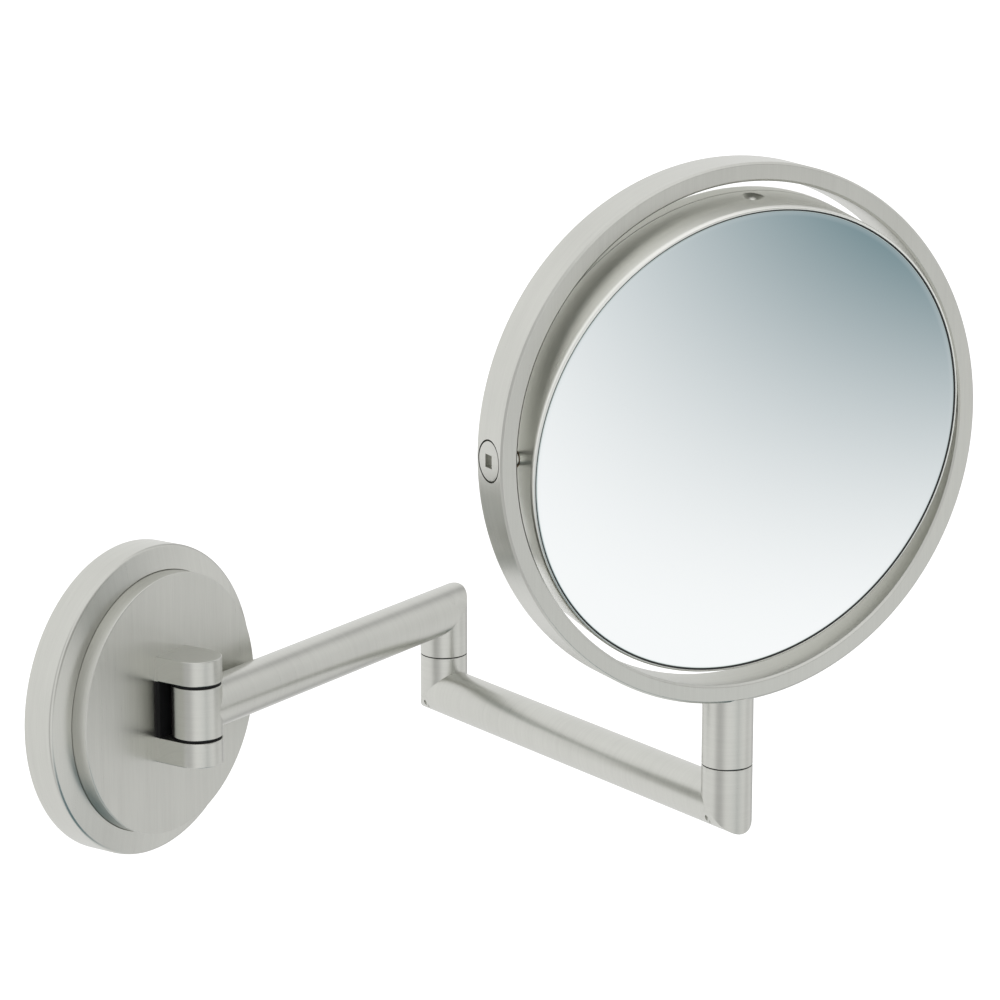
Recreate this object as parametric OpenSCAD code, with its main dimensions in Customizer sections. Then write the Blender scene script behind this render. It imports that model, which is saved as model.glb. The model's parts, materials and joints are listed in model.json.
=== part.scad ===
// Extendable shaving mirror on a two-part swinging arm, for a bathroom wall.
// Frame: +Z up, the wall is the plane Y = 0 and the mirror stands out of it along -Y.
// The origin is the centre of the wall plate's back face. Lengths are in millimetres.

/* [Wall plate] */
// Radius of the outer cover
cover_r = 67.8; // [66:0.1:74]
// Height of the outer cover's skirt off the wall
cover_h = 14.5; // [13.5:0.1:16]
// Radius of the raised disc in the middle
disc_r = 57; // [50:0.5:57]
// Distance of the raised disc's face from the wall
disc_h = 24.4; // [23:0.1:24.8]
// Diameter of the holes for the wall screws
wall_hole_d = 5.2; // [4:0.1:6.5]
// Diameter of the circle that the wall screws stand on
wall_hole_pcd = 80; // [60:1:100]

/* [Arms] */
// Radius of every barrel and elbow
tube_r = 10.9; // [9.5:0.1:10.9]
// Distance of the wall hinge's axis from the wall
hinge_off = 38.1; // [38:0.1:44]
// Length of the inner arm, axis to axis
inner_len = 187.8; // [150:0.1:240]
// Length of the outer arm, axis to axis
outer_len = 208.8; // [150:0.1:260]
// Height of the outer arm's axis below the inner arm's
arm_drop = 38.6; // [36:0.1:50]
// Direction of the inner arm at rest, in degrees from +X
inner_dir = 1.2; // [-40:0.1:1.2]
// Direction of the outer arm at rest, in degrees from +X
outer_dir = -109.5; // [-140:0.1:-60]

/* [Head] */
// Outer radius of the yoke ring
yoke_r = 114.5; // [114:0.1:130]
// Inner radius of the yoke ring
yoke_bore = 106.6; // [106:0.1:106.8]
// Depth of the yoke ring, front to back
yoke_depth = 21.2; // [20:0.1:28]
// Height of the yoke ring's centre above the inner arm's axis
yoke_z = 124.1; // [124:0.1:150]
// Turn of the head at rest about the post, in degrees
head_turn = -27.6; // [-60:0.1:60]
// Tilt of the mirror at rest, top towards the user, in degrees
mirror_tilt = 8; // [-20:0.5:20]
// Radius of the mirror's frame
frame_r = 102.2; // [101:0.1:102.4]
// Depth of the mirror's frame, glass to glass
frame_depth = 30.8; // [28:0.1:32]
// Radius of curvature of the magnifying glass
glass_curve = 1000; // [800:10:2000]

/* [Hidden] */

$fn = 96;
eps = 0.1;          // overshoot of a cutter past the face that it opens
over = 2;           // overshoot of a cutter where there is open space past it
slip = 0.02;        // clearance of a pressed or screwed fit
run = 0.05;         // radial clearance of a running fit
gap = 0.1;          // clearance between faces that turn past each other

nickel = [0.74, 0.74, 0.71];
steel = [0.62, 0.63, 0.64];
black = [0.07, 0.07, 0.07];
bronze = [0.62, 0.48, 0.28];
silvered = [0.80, 0.85, 0.88];

// Wall plate
cover_wall = 2;
cover_edge = 1.3;                            // rounding of the cover's rim
cover_lip_r = disc_r + 0.35;                 // opening that the raised disc stands in
cover_crown = 2.4;                           // rise of the cover's face from rim to opening
cover_lip = 0.2;                             // chamfer of the cover's opening
seat_h = cover_h - 2;                        // plane where the disc's foot meets the cover
disc_wall = 3;
disc_edge = 0.5;
disc_foot_r = cover_r - 3.8;
disc_foot_t = 2;
disc_screw_r = 1.5;
disc_screw_len = 1.8;                        // bite of the disc's screws in the cover
disc_screw_head = 1;                         // height of their heads
disc_screw_head_r = 2.8;
disc_screw_key_r = 0.9;
disc_screw_ring = (disc_foot_r + disc_r) / 2;
disc_screw_angles = [30, 150, 270];
bracket_r = cover_r - cover_wall - 0.3;       // the cover slips over the bracket
bracket_t = 3;
bracket_rim_h = 9;
bracket_rim_t = 2.4;
grub_r = 2;
grub_off = 6;                                // distance of the grub screw's axis from the wall
grub_set = 0.4;                              // the grub screw lies this far inside the cover
grub_bite = 1.6;                             // and reaches this far through the bracket's rim
grub_key_h = 2;
wall_hole_angles = [90, 210, 330];
backing_r = 30;
backing_t = 4;

// Wall hinge
barrel_half = 11.3;
bush_gap = 1.3;                              // space between the barrel and a knuckle
knuckle_in = barrel_half + bush_gap;
knuckle_out = 23.5;
knuckle_r = tube_r + 0.1;
strip_w = 16;                                // strip that joins the knuckles
strip_h = disc_h + 1.4;
slot_floor = disc_h + 2;                     // face of the liner that covers the strip
pin_r = 3;
pin_top = 19.5;
pin_set = 0.3;                               // the pin lies this far inside the lower knuckle
pin_slot_w = 0.8;
pin_slot_h = 0.9;
bush_r = 5;
bush_len = 9;
bush_flange_r = tube_r - 0.5;
clamp_screw_r = 2.5;
clamp_head_r = 3.6;
clamp_screw_z = 6;
clamp_head_h = 1.1;                          // height of the countersunk head
clamp_set = 0.5;                             // the screw stops this far inside the backing plate
clamp_key_r = 1.5;
clamp_key_h = 0.9;

// Arms
arm_r = tube_r - 0.1;                        // the arm tubes are a hair thinner than the elbows
arm_wall = 1.8;
hinge = [0, -hinge_off, 0];
elbow = hinge + inner_len * [cos(inner_dir), sin(inner_dir), 0];
foot = elbow + outer_len * [cos(outer_dir), sin(outer_dir), 0];
seam_z = -20.5;                              // height of the seams at the elbow and the post
seam_gap = 0.4;
washer_t = seam_gap - gap;
washer_r = tube_r - 0.2;
elbow_top = 0.05;                            // play between the elbow's crown and its trim
pivot_r = 3;
pivot_head_r = 5;
pivot_head_h = 4.5;
pivot_head_z = -39.5;
pivot_top = -6;
screw_room = 1;                              // free thread past the tip of a screw
key_r = 2;                                   // access hole for the hex key
key_depth = 2.5;
well_r = 6.5;                                // well that holds the pivot screw's head
well_z = -41;
pivot_bush_z = -31;
spring_t = 0.8;
spring_rise = 0.7;
spring_in_r = 3.2;
spring_out_r = 5.6;
lock_r = 1.6;
lock_at = [-1.2, -8.6];                      // off the pivot, so that it misses the pivot screw's well
lock_top = -38;
lock_len = 4;
lock_key_r = 0.8;
lock_key_h = 1;

// Head
yoke_edge = 0.9;
stud_r = 3;
stud_low = -3;
stud_up = 5;                                 // length of the stud inside the ring
post_trim = 2;                               // the post runs this far up before the ring trims it
plug_r = 8.25;
plug_gap = 0.7;                              // shadow gap round the plug
plug_h = 4.4;
plug_socket = 5.5;
plug_socket_depth = 3;
journal_r = 2.5;
journal_in = 97.5;
journal_hole_r = 3;
spacer_r = 3.3;
spacer_play_in = 0.3;                        // clearance of the spacer to the mirror's frame
spacer_play_out = 0.4;                       // and to the yoke ring
half_frame = frame_depth / 2;
frame_wall = 2.4;
rim_edge_h = 2.2;                            // height of the frame's rounded edge
rim_edge_w = 0.85;                           // width of the frame's rounded edge
rebate_r = frame_r - 1.25;
rebate_h = 4.4;
seam_off = -7.7;                             // seam between the frame and the rear bezel
bezel_gap = 0.4;
spigot_len = 3.8;
spigot_wall = 1.5;
spigot_r = frame_r - frame_wall - slip;      // the rear bezel's spigot slides into the frame
glass_r = rebate_r - 0.55;
glass_t = 3.9;
glass_set = 0.4;                             // the glass lies this far behind the frame's edge
hub_r = 3.8;
hub_flange_r = 6.5;
hub_flange_t = 2.2;
hub_in = journal_in - 0.5;                   // inner face of the bushes' flanges
hub_set = 0.3;                               // a bush lies this far inside the frame's side
hub_play = 0.3;                              // clearance round a bush's flange
spacer_ring_r = spigot_r - spigot_wall - 0.28;
spacer_ring_wall = 6;
spacer_ring_gap = 1;                         // room between the spacer ring and the front ledge
dimple_r = 5.2;
dimple_depth = 2;
set_screw_r = 1.5;
set_screw_len = 6.5;
set_screw_set = 0.2;                         // the screw lies this far below the dimple
set_screw_key_r = 0.8;
set_screw_key_h = 1.2;
foam_r = 88;
foam_gap = 0.2;                              // room between the foam and the magnifying glass
gasket_lip = 0.2;                            // rise of the gasket from the glass to the frame
ledge = half_frame - rebate_h;               // face that each glass rests on
glass_front = half_frame - glass_set;
glass_steps = 12;                            // steps of the magnifying glass's curve
edge_step = 15;                              // angle between the points of the frame's rounded edge

// Points of a quarter round with unequal half axes, from angle 0 to 90
function quarter(cx, cy, a, b, n = 6) = [
    for (i = [0:n]) let (angle = 90 * i / n) [cx + a * cos(angle), cy + b * sin(angle)]
];

// Height of the magnifying glass's sphere over its centre, and depth of its hollow, at radius r from its axis
function sagitta(r) = sqrt(pow(glass_curve, 2) - pow(r, 2));
function hollow(r) = sagitta(r) - sagitta(glass_r);

// Turns a profile of [radius, height off the wall] about an axis along -Y
module turned(points) rotate([90, 0, 0]) rotate_extrude() polygon(points);

// Places children in the named frame of the chain
module at_inner() translate(hinge) rotate([0, 0, inner_dir]) children();
module at_elbow_up() translate(elbow) rotate([0, 0, inner_dir]) children();
module at_elbow_low() translate(elbow) rotate([0, 0, outer_dir]) children();
module at_foot() translate(foot) rotate([0, 0, outer_dir]) children();
module at_head() translate([foot[0], foot[1], yoke_z]) rotate([0, 0, head_turn]) children();
module at_mirror() at_head() rotate([mirror_tilt, 0, 0]) children();

module rod(r, z0, z1) translate([0, 0, z0]) cylinder(r = r, h = z1 - z0);
module rod_x(r, x0, x1) translate([x0, 0, 0]) rotate([0, 90, 0]) cylinder(r = r, h = x1 - x0);
module rod_off(r, y0, y1) rotate([90, 0, 0]) translate([0, 0, y0]) cylinder(r = r, h = y1 - y0);
module sleeve(r_out, r_in, z0, z1) difference() {
    rod(r_out, z0, z1);
    rod(r_in, z0 - eps, z1 + eps);
}
module both_sides() for (turn = [0, 180]) rotate([0, 0, turn]) children();
module above_and_below() for (z = [-clamp_screw_z, clamp_screw_z]) translate([0, 0, z]) children();

// Sets children on a circle round the wall plate's axis
module ring_of(angles, radius) for (a = angles) rotate([0, -a, 0]) translate([radius, 0, 0]) children();

// ---- Wall plate ----

module wall_bracket() color(steel) difference() {
    turned([[0, 0], [bracket_r, 0], [bracket_r, bracket_rim_h], [bracket_r - bracket_rim_t, bracket_rim_h],
        [bracket_r - bracket_rim_t, bracket_t], [0, bracket_t]]);
    ring_of(wall_hole_angles, wall_hole_pcd / 2) rod_off(wall_hole_d / 2, -eps, bracket_t + eps);
    translate([0, -grub_off, 0]) rod(grub_r + gap, -cover_r, -bracket_r + bracket_rim_t + eps);
}

module flange_cover() color(nickel) difference() {
    turned(concat(
        [[cover_r, 0]],
        quarter(cover_r - cover_edge, cover_h - cover_edge, cover_edge, cover_edge),
        [[cover_lip_r + cover_lip, cover_h + cover_crown], [cover_lip_r, cover_h + cover_crown - cover_lip],
            [cover_lip_r, seat_h], [cover_r - cover_wall, seat_h], [cover_r - cover_wall, 0]]));
    translate([0, -grub_off, 0]) rod(grub_r, -cover_r - eps, -cover_r + 2 * cover_wall);
    ring_of(disc_screw_angles, disc_screw_ring) rod_off(disc_screw_r, seat_h - eps, seat_h + over);
}

module cover_grub_screw() color(steel) translate([0, -grub_off, 0]) difference() {
    rod(grub_r - slip, -cover_r + grub_set, -bracket_r + grub_bite);
    translate([0, 0, -cover_r]) cylinder(r = grub_r / 2, h = grub_key_h, $fn = 6);
}

module raised_disc() color(nickel) difference() {
    turned([[0, disc_h - disc_wall], [disc_r - disc_wall, disc_h - disc_wall],
        [disc_r - disc_wall, seat_h - disc_foot_t], [disc_foot_r, seat_h - disc_foot_t],
        [disc_foot_r, seat_h], [disc_r, seat_h], [disc_r, disc_h - disc_edge],
        [disc_r - disc_edge, disc_h], [0, disc_h]]);
    ring_of(disc_screw_angles, disc_screw_ring)
        rod_off(disc_screw_r + gap, seat_h - disc_foot_t - eps, seat_h + eps);
    above_and_below() rod_off(clamp_screw_r + gap, disc_h - disc_wall - eps, disc_h + eps);
}

module disc_screws() color(steel) ring_of(disc_screw_angles, disc_screw_ring) difference() {
    union() {
        rod_off(disc_screw_r - slip, seat_h - disc_foot_t, seat_h + disc_screw_len);
        rod_off(disc_screw_head_r, seat_h - disc_foot_t - disc_screw_head, seat_h - disc_foot_t);
    }
    rotate([90, 0, 0]) translate([0, 0, seat_h - disc_foot_t - disc_screw_head - eps])
        cylinder(r = disc_screw_key_r, h = disc_screw_head, $fn = 6);
}

module backing_plate() color(steel) difference() {
    rod_off(backing_r, disc_h - disc_wall - backing_t, disc_h - disc_wall);
    above_and_below() rod_off(clamp_screw_r, disc_h - disc_wall - backing_t - eps, disc_h);
}

// ---- Wall hinge ----

module hinge_bracket() color(nickel) difference() {
    union() {
        translate(hinge) rod(knuckle_r, -knuckle_out, knuckle_out);
        translate([-knuckle_r, -hinge_off, -knuckle_out])
            cube([2 * knuckle_r, hinge_off - disc_h, 2 * knuckle_out]);
    }
    slot() translate([-2 * knuckle_r, strip_h, 0]) square([4 * knuckle_r, hinge_off + knuckle_r]);
    slot() for (x = [-knuckle_r - over, strip_w / 2])
        translate([x, disc_h - eps]) square([knuckle_r + over - strip_w / 2, hinge_off]);
    translate(hinge) rod(pin_r + slip, -knuckle_out - eps, pin_top + slip);
    above_and_below() {
        rod_off(clamp_screw_r + gap, disc_h - eps, strip_h + eps);
        rotate([90, 0, 0]) translate([0, 0, strip_h - clamp_head_h])
            cylinder(r1 = clamp_screw_r + gap, r2 = clamp_head_r + gap, h = clamp_head_h + slip);
    }
}

// Raises an outline of [across, off the wall] over the slot's whole height, less some play at both ends
module slot(play = 0) translate([0, 0, -knuckle_in + play]) mirror([0, 1, 0])
    linear_extrude(2 * (knuckle_in - play)) children();

module slot_liner() color(black) slot(play = gap / 2) difference() {
    translate([-knuckle_r, disc_h]) square([2 * knuckle_r, slot_floor - disc_h]);
    translate([-strip_w / 2 - slip, disc_h - eps])
        square([strip_w + 2 * slip, strip_h - disc_h + eps + slip]);
}

module bracket_screws() color(steel) above_and_below() difference() {
    union() {
        rod_off(clamp_screw_r - slip, disc_h - disc_wall - backing_t + clamp_set, strip_h - clamp_head_h / 2);
        rotate([90, 0, 0]) translate([0, 0, strip_h - clamp_head_h])
            cylinder(r1 = clamp_screw_r - slip, r2 = clamp_head_r, h = clamp_head_h);
    }
    rotate([90, 0, 0]) translate([0, 0, strip_h - clamp_key_h])
        cylinder(r = clamp_key_r, h = clamp_key_h + eps, $fn = 6);
}

module hinge_pin() color(steel) translate(hinge) difference() {
    rod(pin_r, -knuckle_out + pin_set, pin_top);
    translate([-pin_r - eps, -pin_slot_w / 2, -knuckle_out])
        cube([2 * pin_r + 2 * eps, pin_slot_w, pin_set + pin_slot_h]);
}

// ---- Inner arm ----

module wall_barrel() color(nickel) translate(hinge) sleeve(tube_r, bush_r + slip, -barrel_half, barrel_half);

module hinge_bushes() color(black) translate(hinge) for (side = [0, 1]) mirror([0, 0, side]) difference() {
    union() {
        rod(bush_r, barrel_half - bush_len, barrel_half + eps);
        rod(bush_flange_r, barrel_half, knuckle_in - gap);
    }
    rod(pin_r + run, barrel_half - bush_len - eps, knuckle_in + eps);
}

// A tube along +X between two upright cylinders that its ends are cut to
module arm_tube(len) difference() {
    rod_x(arm_r, 0, len);
    rod_x(arm_r - arm_wall, -eps, len + eps);
    rod(tube_r, -2 * tube_r, 2 * tube_r);
    translate([len, 0, 0]) rod(tube_r, -2 * tube_r, 2 * tube_r);
}

module inner_arm_tube() color(nickel) at_inner() arm_tube(inner_len);

// An upright stub that meets a level tube at z = 0: below it is plain, above it follows the tube's round back
module elbow_body(z_low) intersection() {
    rod(tube_r, z_low, tube_r + elbow_top);
    union() {
        rod_x(tube_r + elbow_top, -2 * tube_r, 2 * tube_r);
        translate([-2 * tube_r, -2 * tube_r, z_low - eps]) cube([4 * tube_r, 4 * tube_r, -z_low + eps]);
    }
}

module inner_elbow() color(nickel) at_elbow_up() difference() {
    elbow_body(seam_z + seam_gap / 2);
    rod(pivot_r + slip, seam_z - eps, pivot_top + screw_room);
}

module pivot_screw() color(steel) difference() {
    union() {
        rod(pivot_head_r, pivot_head_z, pivot_head_z + pivot_head_h);
        rod(pivot_r, pivot_head_z + pivot_head_h - eps, pivot_top);
    }
    translate([0, 0, pivot_head_z - eps]) cylinder(r = key_r, h = key_depth + eps, $fn = 6);
}

// Two cupped washers face to face, between the screw's head and the bush
module spring_washers() color(steel) {
    z = (pivot_head_z + pivot_head_h + pivot_bush_z) / 2;
    for (side = [0, 1]) translate([0, 0, z]) mirror([0, 0, side]) rotate_extrude()
        polygon([[spring_out_r, 0], [spring_out_r, spring_t], [spring_in_r, spring_t + spring_rise],
            [spring_in_r, spring_rise]]);
}

module elbow_pivot_screw() at_elbow_up() pivot_screw();
module elbow_spring_washers() at_elbow_up() spring_washers();

// ---- Outer arm ----

module lower_elbow() translate([0, 0, -arm_drop]) difference() {
    mirror([0, 0, 1]) elbow_body(-arm_drop - seam_z + seam_gap / 2);
    rod(well_r, arm_drop + well_z, arm_drop);
    rod(key_r, -2 * tube_r, arm_drop);
    translate(lock_at) rod(lock_r, -2 * tube_r, arm_drop + lock_top);
}

module lock_screw() color(steel) translate(lock_at) difference() {
    rod(lock_r - slip, lock_top - lock_len, lock_top - gap);
    translate([0, 0, lock_top - lock_len - eps]) cylinder(r = lock_key_r, h = lock_key_h + eps, $fn = 6);
}

module lock_screws() {
    at_elbow_low() lock_screw();
    at_foot() lock_screw();
}

module pivot_bush() color(bronze) sleeve(well_r - slip, pivot_r + run, pivot_bush_z, seam_z - seam_gap / 2);
module friction_washer() color(black)
    sleeve(washer_r, pivot_r + run, seam_z - seam_gap / 2, seam_z - seam_gap / 2 + washer_t);

module outer_elbow() color(nickel) at_elbow_low() lower_elbow();
module elbow_bush() at_elbow_low() pivot_bush();
module elbow_friction_washer() at_elbow_low() friction_washer();
module outer_arm_tube() color(nickel) at_elbow_low() translate([0, 0, -arm_drop]) arm_tube(outer_len);
module post_elbow() color(nickel) at_foot() lower_elbow();
module post_bush() at_foot() pivot_bush();
module post_friction_washer() at_foot() friction_washer();

// ---- Head ----

module post() color(nickel) difference() {
    translate(foot) rod(tube_r, seam_z + seam_gap / 2, yoke_z - yoke_r + post_trim);
    at_head() rod_off(yoke_r, -2 * yoke_depth, 2 * yoke_depth);
    translate(foot) rod(pivot_r + slip, seam_z - eps, pivot_top + screw_room);
    translate(foot) rod(stud_r + slip, stud_low, yoke_z - yoke_r + post_trim);
}

module post_pivot_screw() at_foot() pivot_screw();
module post_spring_washers() at_foot() spring_washers();
module post_stud() color(steel) translate(foot) rod(stud_r, stud_low + slip, yoke_z - yoke_r + stud_up);

module yoke_ring() color(nickel) at_head() difference() {
    half = yoke_depth / 2;
    turned([[yoke_bore + yoke_edge, -half], [yoke_r - yoke_edge, -half], [yoke_r, -half + yoke_edge],
        [yoke_r, half - yoke_edge], [yoke_r - yoke_edge, half], [yoke_bore + yoke_edge, half],
        [yoke_bore, half - yoke_edge], [yoke_bore, -half + yoke_edge]]);
    both_sides() {
        rod_x(plug_r + plug_gap, yoke_r - plug_h, yoke_r + over);
        rod_x(journal_hole_r, yoke_bore - over, yoke_r);
    }
    rod(stud_r + slip, -yoke_r - over, -yoke_r + stud_up + slip);
}

module pivot_screws() color(nickel) at_head() both_sides() difference() {
    intersection() {
        union() {
            rod_x(plug_r, yoke_r - plug_h, yoke_r);
            rod_x(journal_r, journal_in, yoke_r - plug_h + eps);
        }
        rod_off(yoke_r - gap, -2 * plug_r, 2 * plug_r);
    }
    translate([yoke_r - plug_socket_depth, -plug_socket / 2, -plug_socket / 2])
        cube([2 * plug_socket_depth, plug_socket, plug_socket]);
}

module pivot_spacers() color(nickel) at_head() both_sides() difference() {
    rod_x(spacer_r, frame_r + spacer_play_in, yoke_bore - spacer_play_out);
    rod_x(journal_r + slip, frame_r, yoke_bore);
}

// ---- Mirror ----

// Outline of the frame's edge and rebate, from the side wall to the ledge under the glass
function rim_points(off_inner) = concat(
    [[frame_r - frame_wall, ledge], [rebate_r, ledge], [rebate_r, half_frame]],
    [for (p = [90:-edge_step:0])
        [frame_r - rim_edge_w * (1 - cos(p)), half_frame - rim_edge_h * (1 - sin(p))]],
    [[frame_r, off_inner]]);

module mirror_frame() color(nickel) at_mirror() difference() {
    turned(concat(rim_points(seam_off + bezel_gap / 2), [[frame_r - frame_wall, seam_off + bezel_gap / 2]]));
    both_sides() rod_x(hub_r + slip, frame_r - frame_wall - over, frame_r + over);
    translate([0, 0, frame_r - dimple_depth])
        cylinder(r1 = set_screw_r + gap, r2 = dimple_r, h = dimple_depth + eps);
    rod(set_screw_r + gap, frame_r - frame_wall - over, frame_r);
}

module rear_bezel() color(nickel) at_mirror() difference() {
    mirror([0, 1, 0]) turned(concat(
        rim_points(-seam_off + bezel_gap / 2),
        [[spigot_r, -seam_off + bezel_gap / 2], [spigot_r, -seam_off - spigot_len],
            [spigot_r - spigot_wall, -seam_off - spigot_len], [spigot_r - spigot_wall, ledge]]));
    both_sides() rod_x(hub_flange_r + hub_play, hub_in - over, frame_r - frame_wall + eps);
}

module spacer_ring() color(black) at_mirror() difference() {
    inside = spacer_ring_r - spacer_ring_wall;
    high = ledge - spacer_ring_gap;
    turned([[inside, -ledge], [spacer_ring_r, -ledge], [spacer_ring_r, high], [inside, high]]);
    both_sides() rod_x(hub_flange_r + hub_play, inside - over, spacer_ring_r + over);
    rod(set_screw_r, inside - over, spacer_ring_r + over);
}

module pivot_bushes() color(bronze) at_mirror() both_sides() difference() {
    union() {
        rod_x(hub_r, hub_in, frame_r - hub_set);
        rod_x(hub_flange_r, hub_in, hub_in + hub_flange_t);
    }
    rod_x(journal_r + run, hub_in - eps, frame_r);
}

module frame_set_screw() color(steel) at_mirror() difference() {
    rod(set_screw_r - slip, frame_r - dimple_depth - set_screw_len, frame_r - dimple_depth - set_screw_set);
    translate([0, 0, frame_r - dimple_depth - set_screw_set - set_screw_key_h])
        cylinder(r = set_screw_key_r, h = set_screw_key_h + eps, $fn = 6);
}

module front_glass() color(silvered) at_mirror() turned(concat(
    [for (i = [0:glass_steps]) let (r = glass_r * i / glass_steps) [r, glass_front - glass_t - hollow(r)]],
    [for (i = [glass_steps:-1:0]) let (r = glass_r * i / glass_steps) [r, glass_front - hollow(r)]]));

module rear_glass() color(silvered) at_mirror() rod_off(glass_r, -glass_front, -glass_front + glass_t);

module gasket() color(black) turned([[glass_r + slip, ledge], [rebate_r - slip, ledge],
    [rebate_r - slip, glass_front + gasket_lip], [glass_r + slip, glass_front]]);

module front_gasket() at_mirror() gasket();
module rear_gasket() at_mirror() mirror([0, 1, 0]) gasket();

module foam_core() color(black) at_mirror() turned(concat(
    [[0, -ledge], [foam_r, -ledge]],
    [for (i = [glass_steps:-1:0]) let (r = foam_r * i / glass_steps)
        [r, glass_front - glass_t - foam_gap - hollow(r)]]));

wall_bracket();
flange_cover();
cover_grub_screw();
raised_disc();
disc_screws();
backing_plate();
hinge_bracket();
bracket_screws();
hinge_pin();
slot_liner();
wall_barrel();
hinge_bushes();
inner_arm_tube();
inner_elbow();
elbow_pivot_screw();
elbow_spring_washers();
outer_elbow();
elbow_bush();
elbow_friction_washer();
outer_arm_tube();
post_elbow();
post_bush();
post_friction_washer();
lock_screws();
post();
post_pivot_screw();
post_spring_washers();
post_stud();
yoke_ring();
pivot_screws();
pivot_spacers();
mirror_frame();
rear_bezel();
spacer_ring();
pivot_bushes();
frame_set_screw();
front_glass();
front_gasket();
rear_glass();
rear_gasket();
foam_core();
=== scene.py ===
"""Extendable shaving mirror on a two-part swinging arm: turned pieces, finishes and a plain studio.

Meshes are shaped in millimetres on a bench (Stock) and brought to metres when they are finished.
"""
import enum
import json
import logging
import math
from collections.abc import Callable, Sequence
from dataclasses import dataclass, field
from typing import Any, ClassVar

import bmesh
import bpy
from mathutils import Matrix, Vector


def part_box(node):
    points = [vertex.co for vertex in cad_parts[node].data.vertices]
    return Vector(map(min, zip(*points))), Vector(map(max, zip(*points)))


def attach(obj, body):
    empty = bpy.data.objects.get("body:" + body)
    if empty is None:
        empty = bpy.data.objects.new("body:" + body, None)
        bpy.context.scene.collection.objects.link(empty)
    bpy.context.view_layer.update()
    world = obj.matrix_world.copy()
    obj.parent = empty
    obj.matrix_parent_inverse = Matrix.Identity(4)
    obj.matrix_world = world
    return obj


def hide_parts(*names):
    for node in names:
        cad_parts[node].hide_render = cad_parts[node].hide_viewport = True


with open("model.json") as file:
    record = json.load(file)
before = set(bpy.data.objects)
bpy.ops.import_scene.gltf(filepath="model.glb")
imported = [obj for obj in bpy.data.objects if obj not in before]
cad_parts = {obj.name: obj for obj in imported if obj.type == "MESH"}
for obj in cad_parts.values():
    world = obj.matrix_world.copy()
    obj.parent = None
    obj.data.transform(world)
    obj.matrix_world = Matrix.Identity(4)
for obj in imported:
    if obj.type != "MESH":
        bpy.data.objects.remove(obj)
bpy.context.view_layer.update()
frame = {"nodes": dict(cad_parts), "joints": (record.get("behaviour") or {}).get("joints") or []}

LOG = logging.getLogger("shaving_mirror")

MM = 1000.0                   # millimetres in a metre
RING_STEPS = 192              # segments of the large rings
ROD_STEPS = 96                # segments of rods and barrels
ROUND_STEPS = 4               # segments of a rounded corner
SOFT_STEPS = 3                # segments of a softened edge
ROUND_PROFILE = 0.5           # a rounding follows a quarter of a circle
WELD = 1e-4                   # points closer than this are one point, in millimetres
OVERCUT = 1.0                 # how far a tool runs past the face that it cuts, in millimetres
WIDE_OVERCUT = 2.0            # the same past a curved face
HAIR = 0.1                    # keeps two faces from falling together, in millimetres
FINE_RELIEF = 0.00003         # height of a finish's bumps, in metres
COARSE_RELIEF = 0.00004
NOISE_MEAN = 0.5
FULL_TURN = 360.0             # degrees
QUARTER = math.radians(90)
SHARP = math.radians(38)      # faces that meet at more than this keep a crisp edge
SOFTENED = math.radians(40)   # only edges that turn by more than this are softened
OUT_OF_WALL = Matrix.Rotation(QUARTER, 4, "X")
FLIPPED = Matrix.Scale(-1, 4, (0, 0, 1))
WHITE = (1, 1, 1, 1)


# ---- Shop operations ----

class End(enum.Enum):
    """One end of a piece of stock along its own Z axis."""

    LOW = -1
    HIGH = 1


@dataclass(frozen=True)
class Corner:
    """A corner of a turned profile: its radius, its height, and how far it is rounded, in millimetres."""

    radius: float
    height: float
    round: float = 0.0


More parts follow.
